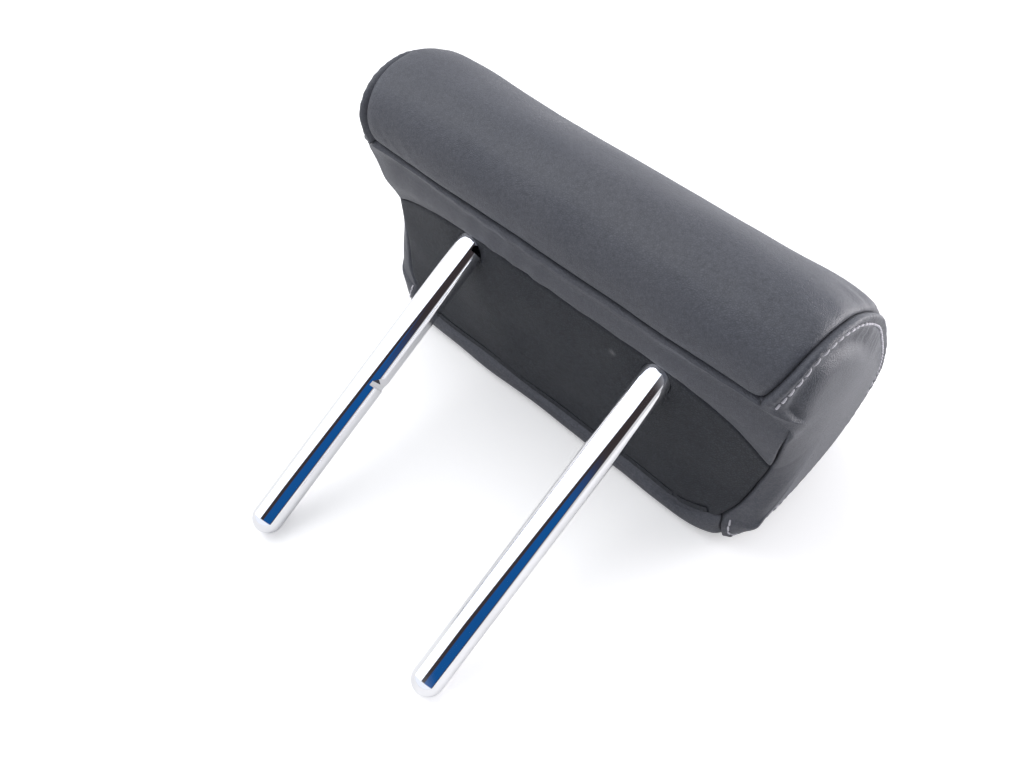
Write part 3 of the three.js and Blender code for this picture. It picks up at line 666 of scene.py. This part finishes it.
lip_places = lip_grid + lip_moves + lip_out * ridge[..., None]
lip_panel = laid_out("lip_panel_leather", hemmed(lip_places, **lip_sewn))
sewn_in(lip_panel, "lip_panel", leather)


# Side panels: leather like the wrap panel's, one at each end. Along the wrap panel's seam the
# spare leather is folded under and stitched down, which raises a rounded fold beside the seam
# and pulls the panel into small gathers, one to a stitch. Lengths are in millimetres.
STITCH_PITCH = 4.35
STITCH_INSET = 5.2
FOLD_HEIGHT = 1.05
FOLD_AT = 2.3
FOLD_WIDTH = 1.35
HOLLOW_DEPTH = 2.7
HOLLOW_AT = 13
HOLLOW_WIDTH = 5.2


def side_piece(name, sign):
    """A side panel, with the line that its stitches follow and the normals along that line."""
    grid, out = side_grids[name], side_out[name]
    away = np.concatenate((np.zeros((len(grid), 1)), np.cumsum(
        np.linalg.norm(np.diff(grid, axis=1), axis=-1), axis=1)), axis=1)
    end = 0 if sign < 0 else -1
    neighbours = np.vstack((wrap_out[:-1, end], lip_out[:-1, end], base_out[:, end]))
    sewn = into_seam(out[:, 0], neighbours)
    moves = turned_in(grid, sewn, (1, False), 1.7, 2.6)
    rows = np.arange(len(grid))
    run = np.concatenate(([0], np.cumsum(np.linalg.norm(np.diff(grid[:, 0], axis=0), axis=-1))))
    doubled = smooth_step(rows, 0, 6) * (1 - smooth_step(rows, WRAP_ROWS - 10, WRAP_ROWS))
    on_roll = smooth_step(rows, 0.62 * WRAP_ROWS, 0.8 * WRAP_ROWS)
    gather = 0.4 * np.cos(2 * math.pi * run / STITCH_PITCH) + 0.6 * folds(run, 7, 21 + sign)
    fold = (FOLD_HEIGHT + 0.12 * gather)[:, None] * np.exp(-((away - FOLD_AT) / FOLD_WIDTH) ** 2)
    groove = -0.35 * np.exp(-((away - STITCH_INSET) / 0.8) ** 2)
    hollow = -(0.3 + HOLLOW_DEPTH * on_roll[:, None]) * np.exp(-((away - HOLLOW_AT) / HOLLOW_WIDTH) ** 2)
    pull = (0.04 * folds(run, 9, 31 + sign) + 0.09 * folds(run, 17, 41 + sign))[:, None]
    pull = pull * np.exp(-((away - 9) / 5) ** 2)
    height = (fold + groove + hollow + pull) * doubled[:, None]
    height += 0.35 * ripples(grid, 70, 50 + sign) * smooth_step(away, 1, 12)
    places = grid + moves + out * height[..., None]
    places[0] = places[-1] = (places[0] + places[-1]) / 2
    inset = np.array([np.interp(STITCH_INSET, row, np.arange(len(row))) for row in away])
    ring, part = inset.astype(int), (inset % 1)[:, None]
    surface = grid + out * height[..., None]
    stitch_line = surface[rows, ring] * (1 - part) + surface[rows, ring + 1] * part
    return laid_out(f"side_panel_{name}_leather", hemmed(places, left=sewn)), stitch_line, out[rows, ring]


stitch_rows = {}
for name, sign in (("left", -1), ("right", 1)):
    side_panel, *stitch_rows[name] = side_piece(name, sign)
    sewn_in(side_panel, "side_panel_" + name, leather)


# Topstitching: a single row of light grey thread beside each side seam, about four stitches in
# 17 mm, that holds down the folded leather. Each stitch sinks into the leather at both ends.
STITCH_RADIUS = 0.00047
STITCH_LENGTH = 0.0034
STITCH_BEND = 0.0011


def sewing_thread():
    finish, tree, shader = new_finish("sewing_thread", Specular_IOR_Level=0.3, Sheen_Weight=0.3)
    coords = put(tree, "TexCoord").outputs["Object"]
    plies = put(tree, "TexWave", coords, Scale=900.0, Distortion=1.0).outputs["Fac"]
    fluff = put(tree, "TexNoise", coords, Scale=300.0, Detail=3.0).outputs["Fac"]
    tone = two_tones(tree, fluff, 0.3, (0.44, 0.43, 0.48, 1),
                     0.7, (0.62, 0.61, 0.66, 1))
    tree.links.new(tone, shader.inputs["Base Color"])
    rough = put(tree, "MapRange", plies, 0.0, 1.0, 0.6, 0.85).outputs[0]
    tree.links.new(rough, shader.inputs["Roughness"])
    bump = put(tree, "Bump", Strength=0.5, Distance=0.00006, Height=plies).outputs[0]
    tree.links.new(bump, shader.inputs["Normal"])
    return finish


def one_stitch():
    """A stitch that lies along X and bends down at both ends."""
    bpy.ops.mesh.primitive_cylinder_add(vertices=8, radius=STITCH_RADIUS, depth=STITCH_LENGTH,
                                        end_fill_type="NGON")
    stitch = bpy.context.object
    bpy.ops.object.mode_set(mode="EDIT")
    bpy.ops.mesh.select_all(action="SELECT")
    bpy.ops.mesh.bisect(plane_co=(0, 0, -STITCH_BEND), plane_no=(0, 0, 1))
    bpy.ops.mesh.select_all(action="SELECT")
    bpy.ops.mesh.bisect(plane_co=(0, 0, STITCH_BEND), plane_no=(0, 0, 1))
    bpy.ops.mesh.select_all(action="SELECT")
    bpy.ops.mesh.bisect(plane_co=(0, 0, 0), plane_no=(0, 0, 1))
    bpy.ops.object.mode_set(mode="OBJECT")
    for spot in stitch.data.vertices:
        x, y, z = spot.co
        end = abs(z) / (STITCH_LENGTH / 2)
        slim = 1 - 0.35 * end ** 4
        spot.co = (z, y * slim, x * slim - STITCH_RADIUS * end ** 3)
    bpy.ops.object.shade_smooth()
    return stitch


thread = sewing_thread()
pattern_stitch = one_stitch()
for name, sign in (("left", -1), ("right", 1)):
    line, normal = (rows[:WRAP_ROWS + 1] for rows in stitch_rows[name])
    path = np.concatenate(([0], np.cumsum(np.linalg.norm(np.diff(line, axis=0), axis=1))))
    chance = np.random.default_rng(70 + sign)
    copies = []
    for start in np.arange(STITCH_PITCH / 2, path[-1] - STITCH_PITCH / 2, STITCH_PITCH):
        here, ahead = (np.array([np.interp(start + d, path, line[:, k]) for k in range(3)])
                       for d in (-1.5, 1.5))
        up = unit(np.array([np.interp(start, path, normal[:, k]) for k in range(3)]))
        forward = unit(ahead - here)
        over = np.cross(up, forward)
        turn = math.radians(5 + chance.uniform(-3, 3))
        forward = forward * math.cos(turn) + over * math.sin(turn)
        over = np.cross(up, forward)
        spot = (here + ahead) / 2 + up * 0.5
        copy = pattern_stitch.copy()
        copy.data = pattern_stitch.data.copy()
        copy.data.transform(Matrix((
            (forward[0], over[0], up[0], spot[0] / 1000),
            (forward[1], over[1], up[1], spot[1] / 1000),
            (forward[2], over[2], up[2], spot[2] / 1000),
            (0, 0, 0, 1),
        )))
        bpy.context.scene.collection.objects.link(copy)
        copies.append(copy)
    bpy.ops.object.select_all(action="DESELECT")
    for copy in copies:
        copy.select_set(True)
    bpy.context.view_layer.objects.active = copies[0]
    bpy.ops.object.join()
    stitches = bpy.context.object
    stitches.name = stitches.data.name = f"topstitch_{name}_thread"
    stitches.data.materials.append(thread)
    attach(stitches, "root")
    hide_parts("topstitch_" + name)
bpy.data.objects.remove(pattern_stitch)


# Base panel: a darker, bluish panel of coarse grained vinyl leather, drawn in round the two holes
# that the posts come out of, with a pale glint painted beside the right post, a painted highlight.
POST_HOLE = 7.15
PUCKER_REACH = 5.0
# Centre of the painted highlight, a pale glint painted into the base panel's colour.
PAINTED_GLINT_AT = (0.0309, -0.0005, 0.154)


def grained_vinyl():
    finish, tree, shader = new_finish("grained_vinyl", Specular_IOR_Level=0.35, IOR=1.5)
    coords = put(tree, "TexCoord").outputs["Object"]
    drift = put(tree, "TexNoise", coords, Scale=180.0, Detail=2.0).outputs["Color"]
    bent = put(tree, "VectorMath", drift, (0.5, 0.5, 0.5), settings={"operation": "SUBTRACT"}).outputs[0]
    bent = put(tree, "VectorMath", bent, settings={"operation": "SCALE"}, Scale=0.0024).outputs[0]
    bent = put(tree, "VectorMath", coords, bent).outputs[0]
    grain = put(tree, "TexVoronoi", bent, Scale=820.0,
                settings={"feature": "DISTANCE_TO_EDGE"}).outputs["Distance"]
    pebble = put(tree, "MapRange", grain, 0.0, 0.3, 0.0, 1.0,
                 settings={"interpolation_type": "SMOOTHSTEP"}).outputs[0]
    pores = put(tree, "TexNoise", bent, Scale=3600.0, Detail=2.0).outputs["Fac"]
    cloud = put(tree, "TexNoise", coords, Scale=30.0, Detail=4.0).outputs["Fac"]
    tone = two_tones(tree, pebble, 0.0, (0.0115, 0.013, 0.0175, 1),
                     0.8, (0.021, 0.024, 0.031, 1))
    mottle = put(tree, "TexNoise", coords, Scale=520.0, Detail=2.0, Roughness=0.6).outputs["Fac"]
    blotch = put(tree, "MapRange", mottle, 0.3, 0.7, 0.80, 1.20).outputs[0]
    tone = put(tree, "VectorMath", tone, settings={"operation": "SCALE"}, Scale=blotch).outputs[0]
    # Painted highlight: a pale glint beside the right post, mixed into the colour with the mottle.
    off_painted_glint = put(tree, "VectorMath", coords, PAINTED_GLINT_AT, settings={"operation": "DISTANCE"}).outputs["Value"]
    painted_glint = put(tree, "MapRange", off_painted_glint, 0.0, 0.0028, 1.0, 0.0,
               settings={"interpolation_type": "SMOOTHSTEP"}).outputs[0]
    painted_glint = put(tree, "Math", painted_glint, mottle, settings={"operation": "MULTIPLY"}).outputs[0]
    painted_glint = put(tree, "Math", painted_glint, 0.14, settings={"operation": "MULTIPLY"}).outputs[0]
    tone = put(tree, "VectorMath", tone, put(tree, "CombineXYZ", painted_glint, painted_glint, painted_glint).outputs[0]).outputs[0]
    tree.links.new(tone, shader.inputs["Base Color"])
    rough = put(tree, "MapRange", cloud, 0.3, 0.7, 0.55, 0.68).outputs[0]
    tree.links.new(rough, shader.inputs["Roughness"])
    fine = put(tree, "Bump", Strength=0.8, Distance=0.00012, Height=pebble).outputs[0]
    fine = put(tree, "Bump", Strength=0.3, Distance=0.00003, Height=pores, Normal=fine).outputs[0]
    tree.links.new(fine, shader.inputs["Normal"])
    return finish


base_rows = slice(WRAP_ROWS + LIP_ROWS, None)
base_sewn = {
    "start": into_seam(base_out[0], lip_out[-1]),
    "end": into_seam(base_out[-1], wrap_out[0]),
    "left": into_seam(base_out[:, 0], side_out["left"][base_rows, 0]),
    "right": into_seam(base_out[:, -1], side_out["right"][base_rows, 0]),
}
base_moves = turned_in(base_grid, base_sewn["start"], (0, False), 1.6, 1.9)
base_moves += turned_in(base_grid, base_sewn["end"], (0, True), 1.3, 0.9)
base_moves += turned_in(base_grid, base_sewn["left"], (1, False), 2.6, 2.2)
base_moves += turned_in(base_grid, base_sewn["right"], (1, True), 2.6, 2.2)
from_post = np.minimum(*(np.hypot(base_grid[..., 0] - x, base_grid[..., 1]) for x in (-52, 52)))
base_height = 0.22 * ripples(base_grid, 34, 80) * smooth_step(from_post, POST_HOLE, 30)
base_height -= 1.1 * np.exp(-np.maximum(from_post - POST_HOLE, 0) / PUCKER_REACH * 2)
base_places = base_grid + base_moves + base_out * base_height[..., None]
base_panel = laid_out("base_panel_vinyl", hemmed(base_places, **base_sewn))
sewn_in(base_panel, "base_panel", grained_vinyl())
bpy.ops.object.modifier_apply(modifier=base_panel.modifiers[0].name)
for side in (-1, 1):
    bpy.ops.mesh.primitive_cylinder_add(vertices=64, radius=POST_HOLE / 1000, depth=0.06,
                                        location=(side * ROD_LEG_X, 0, 0.15))
    cut_away(base_panel, bpy.context.object)
bpy.ops.object.shade_smooth_by_angle(angle=math.radians(40))


# Room: a white table that the headrest lies on, with its post ends and its front touching, and
# a soft white room. Shiny surfaces mirror a picture of their own, which has white, dark and blue
# bands beside the camera, as the posts show them.
FOCAL_LENGTH_PX = 920
PICTURE_WIDTH_PX = 1024
SENSOR_WIDTH = 36
CAMERA_PLACE = (0.1624, -0.3479, 0.1281)
CAMERA_RIGHT = (0.720848, 0.343777, 0.601826)
CAMERA_DOWN = (0.555208, 0.233350, -0.798305)
CAMERA_AHEAD = (-0.414875, 0.909596, -0.022658)
LIGHT_FROM = Vector((-0.50, -0.75, 0.35)).normalized()
HEAD_MIDDLE = Vector((0, 0.01, 0.17))
TABLE_LIFT = 0.30

# Brightness and colours of the mirrored picture.
CEILING = 2.2
WHITE = (0.87, 0.91, 1.0, 1)
PALE = (0.35, 0.35, 0.36, 1)
DARK = (0.020, 0.016, 0.017, 1)
BLUE = (0.0035, 0.040, 0.14, 1)

bpy.ops.object.camera_add()
camera = bpy.context.object
camera.data.lens = FOCAL_LENGTH_PX * SENSOR_WIDTH / PICTURE_WIDTH_PX
camera.data.sensor_width = SENSOR_WIDTH
camera.data.clip_start = 0.01
camera.matrix_world = Matrix((
    (CAMERA_RIGHT[0], -CAMERA_DOWN[0], -CAMERA_AHEAD[0], CAMERA_PLACE[0]),
    (CAMERA_RIGHT[1], -CAMERA_DOWN[1], -CAMERA_AHEAD[1], CAMERA_PLACE[1]),
    (CAMERA_RIGHT[2], -CAMERA_DOWN[2], -CAMERA_AHEAD[2], CAMERA_PLACE[2]),
    (0, 0, 0, 1),
))
bpy.context.scene.camera = camera


def table_top():
    """The plane that touches the domed post ends and the cover: its upward normal and a point."""
    tip_centre = np.array((0.0, 0.0, ROD_RADIUS * math.cos(math.asin(ROD_TIP_FLAT / ROD_RADIUS))))
    cover = np.empty(len(wrap_panel.data.vertices) * 3)
    wrap_panel.data.vertices.foreach_get("co", cover)
    cover = cover.reshape(-1, 3)
    low, high = math.radians(30), math.radians(89)
    for _ in range(50):
        tilt = (low + high) / 2
        down = np.array((0, math.sin(tilt), -math.cos(tilt)))
        if (cover @ down).max() > tip_centre @ down + ROD_RADIUS:
            high = tilt
        else:
            low = tilt
    return Vector(-down), Vector(tip_centre + down * ROD_RADIUS)


table_up, table_point = table_top()
bpy.ops.mesh.primitive_plane_add(size=8)
table = bpy.context.object
table.name = table.data.name = "table_top"
lay_flat = table_up.to_track_quat("Z", "Y").to_matrix().to_4x4()
table.data.transform(Matrix.Translation(table_point) @ lay_flat)
paint = bpy.data.materials.new("white_table")
paint.use_nodes = True
tree = paint.node_tree
tree.nodes.clear()
light_path = put(tree, "LightPath")
seen = light_path.outputs["Is Camera Ray"]
matt = put(tree, "BsdfDiffuse", Color=(0.86, 0.86, 0.875, 1)).outputs[0]
lift = put(tree, "Emission", Color=(1, 1, 1, 1), Strength=put(
    tree, "Math", seen, TABLE_LIFT, settings={"operation": "MULTIPLY"}).outputs[0]).outputs[0]
top = put(tree, "AddShader", matt, lift).outputs[0]
under = put(tree, "NewGeometry").outputs["Backfacing"]
clear = put(tree, "BsdfTransparent").outputs[0]
mixed = put(tree, "MixShader", under, top, clear).outputs[0]
put(tree, "OutputMaterial", mixed)
table.data.materials.append(paint)

world = bpy.context.scene.world or bpy.data.worlds.new("white_room")
bpy.context.scene.world = world
world.use_nodes = True
tree = world.node_tree
tree.nodes.clear()
light_path = put(tree, "LightPath")
heading = put(tree, "TexCoord").outputs["Generated"]
parts = put(tree, "SeparateXYZ", heading)
azimuth = put(tree, "Math", parts.outputs[1], parts.outputs[0],
              settings={"operation": "ARCTAN2"}).outputs[0]
dark_from = put(tree, "MapRange", parts.outputs[2], -0.30, 0.03, math.radians(-104),
                math.radians(-62)).outputs[0]
turn = put(tree, "MapRange", azimuth, dark_from, math.radians(-8), 0.4, 0.6,
           settings={"clamp": False}).outputs[0]


def room_strip(stops):
    strip = put(tree, "ValToRGB", turn)
    ramp = strip.color_ramp
    while len(ramp.elements) > 1:
        ramp.elements.remove(ramp.elements[0])
    for i, (place, colour) in enumerate(stops):
        element = ramp.elements[0] if i == 0 else ramp.elements.new(place)
        element.position = place
        element.color = colour
    return strip.outputs[0]

low_strip = room_strip(((0.0, WHITE), (0.395, WHITE), (0.41, DARK), (0.452, DARK), (0.464, BLUE),
                        (0.57, BLUE), (0.588, DARK), (0.602, PALE), (1.0, PALE)))
high_strip = room_strip(((0.0, WHITE), (0.395, WHITE), (0.415, DARK), (0.585, DARK), (0.602, PALE),
                         (1.0, PALE)))
height = put(tree, "MapRange", parts.outputs[2], -0.12, -0.02, 0.0, 1.0,
             settings={"interpolation_type": "SMOOTHSTEP"}).outputs[0]
low_picture = put(tree, "Background", low_strip, CEILING).outputs[0]
high_picture = put(tree, "Background", high_strip, CEILING).outputs[0]
picture = put(tree, "MixShader", height, low_picture, high_picture).outputs[0]
overhead = put(tree, "MapRange", parts.outputs[2], 0.07, 0.14, 0.0, 1.0,
               settings={"interpolation_type": "SMOOTHSTEP"}).outputs[0]
ceiling = put(tree, "Background", WHITE, 0.52 * CEILING).outputs[0]
picture = put(tree, "MixShader", overhead, picture, ceiling).outputs[0]
underneath = put(tree, "MapRange", parts.outputs[2], -0.36, -0.46, 0.0, 1.0,
                 settings={"interpolation_type": "SMOOTHSTEP"}).outputs[0]
picture = put(tree, "MixShader", underneath, picture, ceiling).outputs[0]
above_table = put(tree, "VectorMath", heading, tuple(table_up),
                  settings={"operation": "DOT_PRODUCT"}).outputs["Value"]
far_end = put(tree, "MapRange", above_table, -0.30, 0.10, 0.88, 0.0,
              settings={"interpolation_type": "SMOOTHSTEP"}).outputs[0]
unlit = put(tree, "Background", (0.02, 0.02, 0.024, 1), 1.0).outputs[0]
picture = put(tree, "MixShader", far_end, picture, unlit).outputs[0]
plain = put(tree, "Background", (1, 1, 1, 1), 1.0).outputs[0]
towards_light = put(tree, "VectorMath", heading, tuple(LIGHT_FROM),
                    settings={"operation": "DOT_PRODUCT"}).outputs["Value"]
level = put(tree, "MapRange", towards_light, -0.6, 1.0, 0.03, 1.12).outputs[0]
soft = put(tree, "Background", (0.97, 0.98, 1.0, 1), level).outputs[0]
lit = put(tree, "MixShader", light_path.outputs["Is Glossy Ray"], soft, picture).outputs[0]
lit = put(tree, "MixShader", light_path.outputs["Is Camera Ray"], lit, plain).outputs[0]
put(tree, "OutputWorld", lit)


def lamp(name, place, target, size, power, colour):
    bpy.ops.object.light_add(type="AREA", location=place)
    made = bpy.context.object
    made.name = name
    made.data.shape = "DISK"
    made.data.size = size
    made.data.energy = power
    made.data.color = colour
    made.rotation_euler = (Vector(target) - Vector(place)).to_track_quat("-Z", "Y").to_euler()
    return made


lamp("ceiling_lamp", HEAD_MIDDLE + LIGHT_FROM * 1.15, HEAD_MIDDLE, 1.1, 6.5, (1, 1, 1))
lamp("side_lamp", HEAD_MIDDLE + Vector((0.6, 0.3, 0.74)), HEAD_MIDDLE, 0.7, 12, (1, 0.97, 0.98))

bpy.context.scene.view_settings.view_transform = "Standard"
